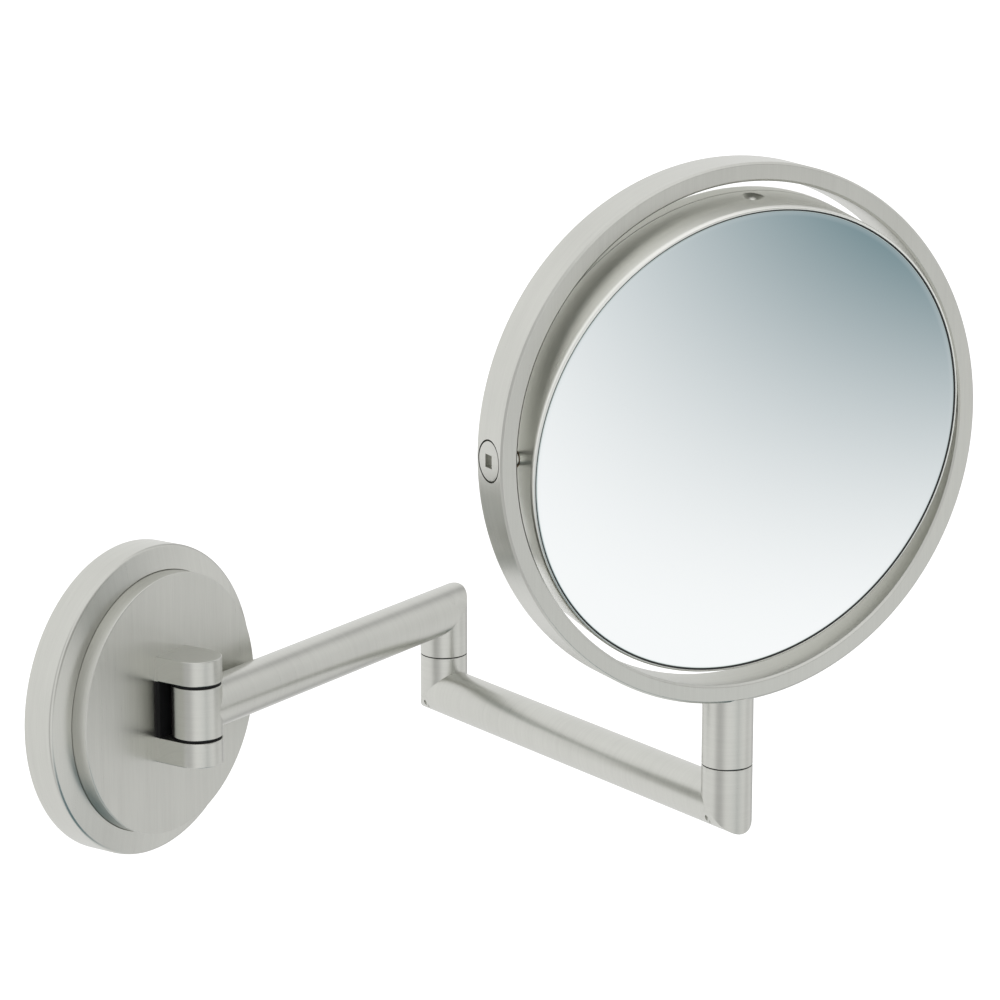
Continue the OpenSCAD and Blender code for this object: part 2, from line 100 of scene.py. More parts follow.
class Stock:
    """A piece of stock on the bench, in millimetres, with the operations that shape it."""

    def __init__(self, bm: bmesh.types.BMesh) -> None:
        """Takes over a bmesh."""
        self.bm = bm

    @classmethod
    def turned(cls, profile: Sequence[Corner], steps: int = RING_STEPS) -> "Stock":
        """Turns a closed profile about the Z axis.

        Args:
            profile: corners of the outline, in order.
            steps: segments of a full turn.

        Returns:
            The turned stock.
        """
        bm = bmesh.new()
        points = [bm.verts.new((c.radius, 0.0, c.height)) for c in profile]
        bm.faces.new(points)
        for amount in sorted({c.round for c in profile} - {0.0}):
            corners = [p for p, c in zip(points, profile) if c.round == amount]
            bmesh.ops.bevel(bm, geom=corners, offset=amount, segments=ROUND_STEPS, profile=ROUND_PROFILE,
                            affect="VERTICES", material=-1)
        bmesh.ops.delete(bm, geom=bm.faces[:], context="FACES_ONLY")
        on_axis = [e for e in bm.edges if all(abs(v.co.x) < WELD for v in e.verts)]
        bmesh.ops.delete(bm, geom=on_axis, context="EDGES")
        bmesh.ops.spin(bm, geom=bm.verts[:] + bm.edges[:], cent=(0, 0, 0), axis=(0, 0, 1), dvec=(0, 0, 0),
                       angle=math.tau, steps=steps, use_merge=True)
        bmesh.ops.remove_doubles(bm, verts=bm.verts[:], dist=WELD)
        bmesh.ops.recalc_face_normals(bm, faces=bm.faces[:])
        return cls(bm)

    @classmethod
    def rod(cls, radius: float, low: float, high: float, tip: float | None = None) -> "Stock":
        """Makes a plain rod, or a cone where a tip radius is given, along Z from low to high."""
        bm = bmesh.new()
        bmesh.ops.create_cone(bm, cap_ends=True, segments=ROD_STEPS, radius1=radius,
                              radius2=radius if tip is None else tip, depth=high - low,
                              matrix=Matrix.Translation((0, 0, (low + high) / 2)))
        return cls(bm)

    @classmethod
    def block(cls, low: Sequence[float], high: Sequence[float]) -> "Stock":
        """Makes a block between two corners."""
        size = [b - a for a, b in zip(low, high)]
        centre = [(a + b) / 2 for a, b in zip(low, high)]
        bm = bmesh.new()
        bmesh.ops.create_cube(bm, size=1.0, matrix=Matrix.Translation(centre) @ Matrix.Diagonal((*size, 1)))
        return cls(bm)

    def placed(self, place: Matrix) -> "Stock":
        """Moves the stock to a place whose lengths are in millimetres."""
        bmesh.ops.transform(self.bm, matrix=place, verts=self.bm.verts[:])
        if place.determinant() < 0:
            bmesh.ops.recalc_face_normals(self.bm, faces=self.bm.faces[:])
        return self

    def rounded_end(self, end: End, radius: float, outward: bool) -> "Stock":
        """Shapes one end to the round of a cylinder that lies across it, along X.

        Args:
            end: which end.
            radius: radius of the cylinder.
            outward: whether the end bulges, as a crown, or is hollow, as a coped tube.

        Returns:
            The same stock.
        """
        heights = [v.co.z for v in self.bm.verts]
        middle = (min(heights) + max(heights)) / 2
        sign = end.value * (-1 if outward else 1)
        for vert in self.bm.verts:
            if (vert.co.z - middle) * end.value > 0:
                vert.co.z += sign * (radius - math.sqrt(max(radius ** 2 - vert.co.y ** 2, 0.0)))
        return self

    def joined(self, other: "Stock") -> "Stock":
        """Adds another, separate solid to this one."""
        spare = bpy.data.meshes.new("spare")
        other.bm.to_mesh(spare)
        self.bm.from_mesh(spare)
        bpy.data.meshes.remove(spare)
        return self

    def cut(self, tool: "Stock") -> "Stock":
        """Cuts the space that a tool takes out of this stock."""
        base_object, tool_object = self._on_bench("base"), tool._on_bench("tool")
        modifier = base_object.modifiers.new("cut", "BOOLEAN")
        modifier.operation = "DIFFERENCE"
        modifier.solver = "EXACT"
        modifier.object = tool_object
        self.bm.clear()
        self.bm.from_object(base_object, bpy.context.evaluated_depsgraph_get())
        for used in (base_object, tool_object):
            mesh = used.data
            bpy.data.objects.remove(used)
            bpy.data.meshes.remove(mesh)
        return self

    def softened(self, width: float, where: Callable[[Vector], bool]) -> "Stock":
        """Rounds the edges whose middle passes a test.

        Args:
            width: how far the rounding reaches from the edge.
            where: the test of an edge's middle.

        Returns:
            The same stock.
        """
        def wanted(edge: bmesh.types.BMEdge) -> bool:
            """Tells whether an edge is to be rounded."""
            middle = (edge.verts[0].co + edge.verts[1].co) / 2
            return edge.is_manifold and edge.calc_face_angle() > SOFTENED and where(middle)

        bmesh.ops.bevel(self.bm, geom=[e for e in self.bm.edges if wanted(e)], offset=width,
                        segments=SOFT_STEPS, profile=ROUND_PROFILE, affect="EDGES", material=-1,
                        clamp_overlap=True)
        return self

    def piece(self, name: str) -> bpy.types.Object:
        """Makes the finished object, in metres and at the origin, with crisp edges and even shading."""
        bmesh.ops.transform(self.bm, matrix=Matrix.Scale(1 / MM, 4), verts=self.bm.verts[:])
        mesh = bpy.data.meshes.new(name)
        self.bm.to_mesh(mesh)
        self.bm.free()
        mesh.shade_smooth()
        mesh.set_sharp_from_angle(angle=SHARP)
        made = bpy.data.objects.new(name, mesh)
        bpy.context.scene.collection.objects.link(made)
        normals = made.modifiers.new("even_shading", "WEIGHTED_NORMAL")
        normals.keep_sharp = True
        return made

    def _on_bench(self, name: str) -> bpy.types.Object:
        """Makes a passing object that a modifier can work on."""
        mesh = bpy.data.meshes.new(name)
        self.bm.to_mesh(mesh)
        made = bpy.data.objects.new(name, mesh)
        bpy.context.scene.collection.objects.link(made)
        return made


# ---- Shader maths ----

class Signal:
    """A number that a shader socket carries. Arithmetic on it adds Math nodes."""

    def __init__(self, shader: "Shader", socket: bpy.types.NodeSocket) -> None:
        """Wraps a socket of a shader."""
        self.shader = shader
        self.socket = socket

    def _math(self, operation: str, *values: Any) -> "Signal":
        """Adds one Math node and returns its result."""
        node = self.shader.node("ShaderNodeMath", {"operation": operation}, dict(enumerate(values)))
        return Signal(self.shader, node.outputs[0])

    def __add__(self, other: Any) -> "Signal":
        """self + other."""
        return self._math("ADD", self, other)

    def __sub__(self, other: Any) -> "Signal":
        """self - other."""
        return self._math("SUBTRACT", self, other)

    def __rsub__(self, other: Any) -> "Signal":
        """other - self."""
        return self._math("SUBTRACT", other, self)

    def __mul__(self, other: Any) -> "Signal":
        """self * other."""
        return self._math("MULTIPLY", self, other)

    def __truediv__(self, other: Any) -> "Signal":
        """self / other."""
        return self._math("DIVIDE", self, other)

    def __pow__(self, other: Any) -> "Signal":
        """self ** other."""
        return self._math("POWER", self, other)

    def __abs__(self) -> "Signal":
        """abs(self)."""
        return self._math("ABSOLUTE", self)

    def __gt__(self, other: Any) -> "Signal":
        """1 where self > other, else 0."""
        return self._math("GREATER_THAN", self, other)

    __radd__ = __add__
    __rmul__ = __mul__

    def angle_from(self, other: "Signal") -> "Signal":
        """The angle whose sine is in proportion to self and its cosine to other, in radians."""
        return self._math("ARCTAN2", self, other)

    def at_least(self, low: float) -> "Signal":
        """The larger of self and low."""
        return self._math("MAXIMUM", self, low)

    def ramp(self, low: float, high: float) -> "Signal":
        """0 below low, 1 above high, smooth between them."""
        node = self.shader.node("ShaderNodeMapRange", {"interpolation_type": "SMOOTHSTEP"},
                                {"Value": self, "From Min": low, "From Max": high})
        return Signal(self.shader, node.outputs["Result"])


class Shader:
    """A node tree under construction."""

    def __init__(self, tree: bpy.types.NodeTree) -> None:
        """Starts an empty tree."""
        self.tree = tree
        self.tree.nodes.clear()

    def node(self, kind: str, settings: dict[str, Any] | None = None,
             inputs: dict[str | int, Any] | None = None) -> bpy.types.Node:
        """Adds a node.

        Args:
            kind: its type.
            settings: its properties, which are set first; "stops" are a ramp's places and greys.
            inputs: a value, a Signal or an output socket for each input socket.

        Returns:
            The node.
        """
        made = self.tree.nodes.new(kind)
        for key, value in (settings or {}).items():
            if key == "stops":
                self._set_stops(made.color_ramp, value)
            else:
                setattr(made, key, value)
        for key, value in (inputs or {}).items():
            source = value.socket if isinstance(value, Signal) else value
            if isinstance(source, bpy.types.NodeSocket):
                self.tree.links.new(source, made.inputs[key])
            else:
                made.inputs[key].default_value = source
        return made

    @staticmethod
    def _set_stops(ramp: bpy.types.ColorRamp, stops: Sequence[tuple[float, float]]) -> None:
        """Sets a ramp's stops, from 0 to 1."""
        for place, _ in stops[1:-1]:
            ramp.elements.new(place)
        for element, (_, grey) in zip(ramp.elements, stops):
            element.color = (grey, grey, grey, 1)

    def parts(self, vector: bpy.types.NodeSocket) -> tuple["Signal", "Signal", "Signal"]:
        """Splits a vector into its three numbers."""
        node = self.node("ShaderNodeSeparateXYZ", inputs={0: vector})
        return tuple(Signal(self, out) for out in node.outputs)

    def vector(self, x: Any, y: Any, z: Any) -> bpy.types.NodeSocket:
        """Joins three numbers into a vector."""
        return self.node("ShaderNodeCombineXYZ", inputs={0: x, 1: y, 2: z}).outputs[0]

    def dot(self, a: Any, b: Any) -> "Signal":
        """Dot product of two vectors."""
        node = self.node("ShaderNodeVectorMath", {"operation": "DOT_PRODUCT"}, {0: a, 1: b})
        return Signal(self, node.outputs["Value"])

    def blend_vectors(self, factor: Any, a: Any, b: Any) -> bpy.types.NodeSocket:
        """Mixes two vectors."""
        node = self.node("ShaderNodeMix", {"data_type": "VECTOR"}, {"Factor": factor, 4: a, 5: b})
        return node.outputs[1]

    def blend_colours(self, factor: Any, a: Any, b: Any) -> bpy.types.NodeSocket:
        """Mixes two colours."""
        node = self.node("ShaderNodeMix", {"data_type": "RGBA"}, {"Factor": factor, 6: a, 7: b})
        return node.outputs[2]

    def noise(self, vector: Any, scale: float = 1.0, detail: float = 2.0) -> "Signal":
        """Smooth noise from 0 to 1."""
        node = self.node("ShaderNodeTexNoise", inputs={"Vector": vector, "Scale": scale, "Detail": detail})
        return Signal(self, node.outputs[0])

    def bump(self, height: "Signal", strength: float, distance: float) -> bpy.types.NodeSocket:
        """Turns a height into a normal."""
        node = self.node("ShaderNodeBump",
                         inputs={"Height": height, "Strength": strength, "Distance": distance})
        return node.outputs["Normal"]

    def surface(self, inputs: dict[str, Any]) -> None:
        """Ends a material with one Principled shader."""
        shader = self.node("ShaderNodeBsdfPrincipled", inputs=inputs)
        self.node("ShaderNodeOutputMaterial", inputs={"Surface": shader.outputs[0]})


# ---- Finishes ----

Colour = tuple[float, float, float, float]


class Grain(enum.Enum):
    """How a satin face was brushed."""

    STRAIGHT_FACES = "straight on the flat faces, round on the rims"
    ROUND = "round the piece's axis everywhere"


@dataclass(frozen=True)
class Finish:
    """A finish: the record's slot that it belongs to, and how it is mixed."""

    slot: ClassVar[str] = ""

    def material(self, name: str, place: Matrix, grain: Grain) -> bpy.types.Material:
        """Makes the material of one piece.

        Args:
            name: the piece's name.
            place: the piece's own frame, with Z along its axis, in millimetres.
            grain: how it was brushed.

        Returns:
            The material.
        """
        made = bpy.data.materials.new(f"{self.slot}_{name}")
        made.use_nodes = True
        shader = Shader(made.node_tree)
        turn = place.to_euler()
        coordinates = shader.node("ShaderNodeTexCoord")
        own = shader.node("ShaderNodeMapping", {"vector_type": "TEXTURE"},
                          {"Vector": coordinates.outputs["Object"], "Location": place.translation / MM,
                           "Rotation": (turn.x, turn.y, turn.z)})
        axis = (place.to_3x3() @ Vector((0, 0, 1))).normalized()
        facing = abs(shader.dot(coordinates.outputs["Normal"], tuple(axis)))
        self.mix(shader, own.outputs[0], facing, grain)
        return made

    def mix(self, shader: Shader, own: bpy.types.NodeSocket, facing: Signal, grain: Grain) -> None:
        """Mixes the finish.

        Args:
            shader: the tree to fill.
            own: the point in the piece's own frame, in metres.
            facing: 1 on faces square to the piece's axis, 0 on its rims.
            grain: how the piece was brushed.
        """
        raise NotImplementedError


@dataclass(frozen=True)
class SatinNickel(Finish):
    """Brushed nickel plate: fine hairlines, broader streaks and a soft cloudiness."""

    slot: ClassVar[str] = "satin_nickel"
    light: Colour = (0.665, 0.668, 0.628, 1)
    dark: Colour = (0.57, 0.572, 0.538, 1)
    roughness: float = 0.30
    line_width: float = 0.0003       # metres across a hairline
    line_length: float = 0.014       # metres along it
    line_detail: float = 3.0
    line_tone: float = 0.40          # its part in the tone
    line_rough: float = 0.08         # its part in the roughness
    streak_width: float = 0.0022
    streak_length: float = 0.06
    streak_detail: float = 2.0
    streak_tone: float = 0.35
    streak_rough: float = 0.05
    streak_relief: float = 0.6       # a streak's height against a hairline's
    cloud_scale: float = 26.0
    cloud_detail: float = 3.0
    cloud_tone: float = 0.40
    cloud_rough: float = 0.04
    tone_low: float = 0.22           # sums of the tones below this are all dark
    tone_high: float = 0.92          # and above this all light
    relief: float = 0.12
    centre_r: float = 0.0005         # smallest radius at which the grain has a direction, in metres
    arc_r: float = 0.008             # inside this radius the grain keeps its width, in metres
    square: float = 0.7              # a face that stands squarer to the axis than this is brushed straight

    def mix(self, shader: Shader, own: bpy.types.NodeSocket, facing: Signal, grain: Grain) -> None:
        """Mixes the satin finish."""
        lines = self._lines(shader, own, facing, grain, self.line_width, self.line_length, self.line_detail)
        streaks = self._lines(shader, own, facing, grain, self.streak_width, self.streak_length,
                              self.streak_detail)
        clouds = shader.noise(own, scale=self.cloud_scale, detail=self.cloud_detail)
        tone = lines * self.line_tone + streaks * self.streak_tone + clouds * self.cloud_tone
        tone = tone.ramp(self.tone_low, self.tone_high)
        roughness = (self.roughness + (lines - NOISE_MEAN) * self.line_rough
                     + (streaks - NOISE_MEAN) * self.streak_rough + (clouds - NOISE_MEAN) * self.cloud_rough)
        shader.surface({
            "Base Color": shader.blend_colours(tone, self.dark, self.light),
            "Metallic": 1.0,
            "Roughness": roughness,
            "Normal": shader.bump(lines + streaks * self.streak_relief, self.relief, FINE_RELIEF),
        })

    def _lines(self, shader: Shader, own: bpy.types.NodeSocket, facing: Signal, grain: Grain,
               width: float, length: float, detail: float) -> Signal:
        """Noise drawn out along the grain.

        Args:
            shader: the tree to fill.
            own: the point in the piece's own frame.
            facing: 1 on faces square to the axis.
            grain: how the piece was brushed.
            width: size of a line across the grain, in metres.
            length: its size along the grain, in metres.
            detail: octaves of the noise.

        Returns:
            The lines, from 0 to 1.
        """
        x, y, z = shader.parts(own)
        radius = ((x * x + y * y) ** 0.5).at_least(self.centre_r)
        arc = radius.at_least(self.arc_r) / length
        around = shader.vector(x / radius * arc, y / radius * arc, (z + radius) / width)
        if grain is Grain.ROUND:
            return shader.noise(around, detail=detail)
        straight = shader.vector(x / width, y / length, z / length)
        return shader.noise(shader.blend_vectors(facing > self.square, around, straight), detail=detail)


@dataclass(frozen=True)
class ZincSteel(Finish):
    """Zinc-plated steel of the hidden fasteners and plates, with a faint spangle."""

    slot: ClassVar[str] = "zinc_steel"
    light: Colour = (0.60, 0.62, 0.65, 1)
    dark: Colour = (0.40, 0.42, 0.45, 1)
    spangle_scale: float = 900.0
    spangle_tone: float = 0.5        # its part in the tone; the haze makes the rest
    spangle_rough: float = 0.06
    haze_scale: float = 300.0
    haze_detail: float = 4.0
    haze_rough: float = 0.22
    roughness: float = 0.28
    relief: float = 0.15

    def mix(self, shader: Shader, own: bpy.types.NodeSocket, facing: Signal, grain: Grain) -> None:
        """Mixes the plating."""
        spangle = shader.node("ShaderNodeTexVoronoi", inputs={"Vector": own, "Scale": self.spangle_scale})
        cells, _, _ = shader.parts(spangle.outputs["Color"])
        haze = shader.noise(own, scale=self.haze_scale, detail=self.haze_detail)
        tone = cells * self.spangle_tone + haze * (1 - self.spangle_tone)
        shader.surface({
            "Base Color": shader.blend_colours(tone, self.dark, self.light),
            "Metallic": 1.0,
            "Roughness": self.roughness + haze * self.haze_rough + cells * self.spangle_rough,
            "Normal": shader.bump(haze, self.relief, FINE_RELIEF),
        })


@dataclass(frozen=True)
class Plastic(Finish):
    """Moulded or cut polymer: a fine bead texture over a slightly uneven colour."""

    # Near black with little shine, so that the slot liner reads as the shade in the slot.
    light: Colour = (0.012, 0.012, 0.013, 1)
    dark: Colour = (0.004, 0.004, 0.0045, 1)
    roughness: float = 0.6
    shine: float = 0.2
    grit: float = 6000.0
    bead_detail: float = 2.0
    bead_tone: float = 0.4           # its part in the tone; the blotches make the rest
    bead_rough: float = 0.2
    blotch_size: float = 30.0        # a blotch's width against a bead's
    blotch_detail: float = 3.0
    relief: float = 0.3

    def mix(self, shader: Shader, own: bpy.types.NodeSocket, facing: Signal, grain: Grain) -> None:
        """Mixes the polymer."""
        beads = shader.noise(own, scale=self.grit, detail=self.bead_detail)
        blotches = shader.noise(own, scale=self.grit / self.blotch_size, detail=self.blotch_detail)
        tone = beads * self.bead_tone + blotches * (1 - self.bead_tone)
        shader.surface({
            "Base Color": shader.blend_colours(tone, self.dark, self.light),
            "Roughness": self.roughness + (beads - NOISE_MEAN) * self.bead_rough,
            "Specular IOR Level": self.shine,
            "Normal": shader.bump(beads, self.relief, COARSE_RELIEF),
        })


@dataclass(frozen=True)
class BlackNylon(Plastic):
    """Black nylon of the washers, the hinge's bushes and the spacer ring, and of the slot liner, which is
    painted shade.
    """

    slot: ClassVar[str] = "black_nylon"


@dataclass(frozen=True)
class GasketRubber(Plastic):
    """Matt rubber of the seals round the glasses."""

    slot: ClassVar[str] = "gasket_rubber"
    light: Colour = (0.06, 0.06, 0.06, 1)
    dark: Colour = (0.03, 0.03, 0.03, 1)
    roughness: float = 0.75


@dataclass(frozen=True)
class CoreFoam(Plastic):
    """Closed-cell foam between the glasses."""

    slot: ClassVar[str] = "core_foam"
    light: Colour = (0.16, 0.16, 0.17, 1)
    dark: Colour = (0.05, 0.05, 0.055, 1)
    roughness: float = 0.9
    grit: float = 1400.0


@dataclass(frozen=True)
class SinteredBronze(Finish):
    """Porous bronze of the pivot bushes, darkened by its oil."""

    slot: ClassVar[str] = "sintered_bronze"
    light: Colour = (0.62, 0.43, 0.22, 1)
    dark: Colour = (0.16, 0.09, 0.04, 1)
    pore_scale: float = 5200.0
    pore_detail: float = 3.0
    pore_low: float = 0.36
    pore_high: float = 0.56
    oil_scale: float = 120.0
    oil_tone: float = 0.3            # its part in the tone of the metal
    oil_polish: float = 0.24         # how much smoother it makes the metal
    roughness: float = 0.62
    relief: float = 0.4

    def mix(self, shader: Shader, own: bpy.types.NodeSocket, facing: Signal, grain: Grain) -> None:
        """Mixes the bronze."""
        pores = shader.noise(own, scale=self.pore_scale, detail=self.pore_detail)
        pores = pores.ramp(self.pore_low, self.pore_high)
        oil = shader.noise(own, scale=self.oil_scale)
        tone = pores * (1 - self.oil_tone + oil * self.oil_tone)
        shader.surface({
            "Base Color": shader.blend_colours(tone, self.dark, self.light),
            "Metallic": pores,
            "Roughness": self.roughness - oil * self.oil_polish,
            "Normal": shader.bump(pores, self.relief, COARSE_RELIEF),
        })


@dataclass(frozen=True)
class MirrorGlass(Finish):
    """Silvered glass: a clear reflection, a cooler cut edge and hardly visible wiping marks."""

    slot: ClassVar[str] = "mirror_glass"
    silver: Colour = (0.93, 0.95, 0.955, 1)
    edge: Colour = (0.50, 0.60, 0.58, 1)
    edge_start: float = 0.0994       # radius where the ground edge begins, in metres
    edge_blend: float = 0.0012       # over which it fades in
    edge_rough: float = 0.12
    wiping_scale: float = 55.0
    wiping_detail: float = 5.0
    wiping_low: float = 0.45
    wiping_high: float = 0.8
    wiping_rough: float = 0.018
    roughness: float = 0.012

    def mix(self, shader: Shader, own: bpy.types.NodeSocket, facing: Signal, grain: Grain) -> None:
        """Mixes the silvering."""
        x, y, _ = shader.parts(own)
        ground = ((x * x + y * y) ** 0.5).ramp(self.edge_start, self.edge_start + self.edge_blend)
        wiping = shader.noise(own, scale=self.wiping_scale, detail=self.wiping_detail)
        wiping = wiping.ramp(self.wiping_low, self.wiping_high)
        shader.surface({
            "Base Color": shader.blend_colours(ground, self.silver, self.edge),
            "Metallic": 1.0,
            "Roughness": self.roughness + wiping * self.wiping_rough + ground * self.edge_rough,
        })


@dataclass(frozen=True)
class Finishes:
    """Every finish that the object wears."""

    nickel: SatinNickel = SatinNickel()
    # A lighter copy of the nickel, which is painted light: it lifts the mirror frame, the rear bezel and the
    # pivot spacers out of the ring's shade.
    nickel_painted_lighter: SatinNickel = SatinNickel(light=(0.90, 0.905, 0.865, 1),
                                             dark=(0.82, 0.825, 0.785, 1))
    steel: ZincSteel = ZincSteel()
    nylon: BlackNylon = BlackNylon()
    rubber: GasketRubber = GasketRubber()
    foam: CoreFoam = CoreFoam()
    bronze: SinteredBronze = SinteredBronze()
    mirror: MirrorGlass = MirrorGlass()


# ---- Frame of the joints ----

@dataclass(frozen=True)
class Joints:
    """The frames of the pieces at rest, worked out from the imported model. Lengths are in millimetres."""

    hinge: Vector
    elbow: Vector
    foot: Vector
    pivot: Vector
    head_turn: float
    tilt: float

    @classmethod
    def of_frame(cls) -> "Joints":
        """Reads the joints' places and the head's turn and tilt from the frame."""
        joints = {joint["name"]: joint for joint in frame["joints"]}
        place = {name: Vector(joint["pos_m"]) * MM for name, joint in joints.items()}
        across = joints["mirror_tilt"]["axis"]
        turn = math.atan2(across[1], across[0])
        pivot = place["mirror_tilt"]
        low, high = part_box("frame_set_screw")
        up = Matrix.Rotation(-turn, 3, "Z") @ ((low + high) / 2 * MM - pivot)
        return cls(place["wall_swing"], place["elbow_swing"], place["head_swivel"], pivot, turn,
                   math.atan2(-up.y, up.z))

    def at_hinge(self) -> Matrix:
        """Frame of the wall hinge, with Z along its pin."""
        return Matrix.Translation(self.hinge)

    def upright(self, at: Vector, ahead: Vector, height: float = 0.0) -> Matrix:
        """Frame that stands upright at a point, with X level and towards another point."""
        turn = math.atan2(ahead.y - at.y, ahead.x - at.x)
        return Matrix.Translation((at.x, at.y, height)) @ Matrix.Rotation(turn, 4, "Z")

    def along(self, start: Vector, end: Vector, height: float) -> Matrix:
        """Frame of a level tube, with Z along it and Y level across it."""
        return self.upright(start, end, height) @ Matrix.Rotation(QUARTER, 4, "Y")

    def head(self) -> Matrix:
        """Frame of the yoke: X along the pivots, -Y to the front, Z up."""
        return Matrix.Translation(self.pivot) @ Matrix.Rotation(self.head_turn, 4, "Z")

    def mirror(self) -> Matrix:
        """Frame of the tilted mirror, as the yoke's."""
        return self.head() @ Matrix.Rotation(self.tilt, 4, "X")


# ---- Sub-assemblies ----

@dataclass
class SubAssembly:
    """A group of pieces that rides on one body."""

    joints: Joints
    finishes: Finishes
    body: ClassVar[str] = ""

    def replace(self, stock: Stock, node: str, finish: Finish, place: Matrix,
                grain: Grain = Grain.ROUND) -> bpy.types.Object:
        """Turns stock into the piece that stands for a CAD node.

        Args:
            stock: the shaped stock, in its place.
            node: the node.
            finish: what it is finished in.
            place: the frame that its grain follows.
            grain: how it was brushed.

        Returns:
            The piece.
        """
        made = stock.piece(f"{node}_finished")
        made.data.materials.append(finish.material(node, place, grain))
        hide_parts(node)
        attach(made, self.body)
        LOG.info("%s: %d faces on %s", made.name, len(made.data.polygons), self.body)
        return made

    def dress(self, finish: Finish, place: Matrix, *nodes: str) -> None:
        """Gives CAD nodes that keep their shape a finish of their own."""
        for node in nodes:
            made = finish.material(node, place, Grain.ROUND)
            for slot in frame["nodes"][node].material_slots:
                slot.material = made
            LOG.info("%s: kept, in %s", node, finish.slot)


@dataclass
class WallPlate(SubAssembly):
    """The round cover with its raised disc, and the bracket behind them."""

    body: ClassVar[str] = "wall_plate"
    cover_r: float = 67.8
    cover_h: float = 14.5
    cover_wall: float = 2.0
    cover_edge: float = 1.3
    back_edge: float = 0.2
    opening_r: float = 57.12
    lip_edge: float = 0.3
    crown: float = 2.4
    disc_r: float = 57.0
    disc_h: float = 24.4
    disc_wall: float = 3.0
    disc_edge: float = 0.5
    foot_r: float = 64.0
    foot_t: float = 2.0
    grub_r: float = 2.0
    grub_off: float = 6.0

    def build(self) -> None:
        """Makes the plate's pieces."""
        self.cover()
        self.disc()
        self.dress(self.finishes.steel, OUT_OF_WALL, "wall_bracket", "backing_plate", "disc_screws",
                   "cover_grub_screw")

    def cover(self) -> None:
        """The outer cover, with its screw hole underneath."""
        seat = self.cover_h - self.cover_wall
        stock = Stock.turned([
            Corner(self.cover_r, 0.0, self.back_edge),
            Corner(self.cover_r, self.cover_h, self.cover_edge),
            Corner(self.opening_r, self.cover_h + self.crown, self.lip_edge),
            Corner(self.opening_r, seat),
            Corner(self.cover_r - self.cover_wall, seat),
            Corner(self.cover_r - self.cover_wall, 0.0),
        ]).placed(OUT_OF_WALL)
        hole = Stock.rod(self.grub_r, -self.cover_r - OVERCUT, -self.cover_r + 2 * self.cover_wall)
        stock.cut(hole.placed(Matrix.Translation((0, -self.grub_off, 0))))
        self.replace(stock, "flange_cover", self.finishes.nickel, OUT_OF_WALL, Grain.STRAIGHT_FACES)

    def disc(self) -> None:
        """The raised disc, with its turned-out foot."""
        seat = self.cover_h - self.cover_wall
        inside = self.disc_h - self.disc_wall
        stock = Stock.turned([
            Corner(0.0, self.disc_h),
            Corner(self.disc_r, self.disc_h, self.disc_edge),
            Corner(self.disc_r, seat),
            Corner(self.foot_r, seat),
            Corner(self.foot_r, seat - self.foot_t),
            Corner(self.disc_r - self.disc_wall, seat - self.foot_t),
            Corner(self.disc_r - self.disc_wall, inside),
            Corner(0.0, inside),
        ]).placed(OUT_OF_WALL)
        self.replace(stock, "raised_disc", self.finishes.nickel, OUT_OF_WALL, Grain.STRAIGHT_FACES)


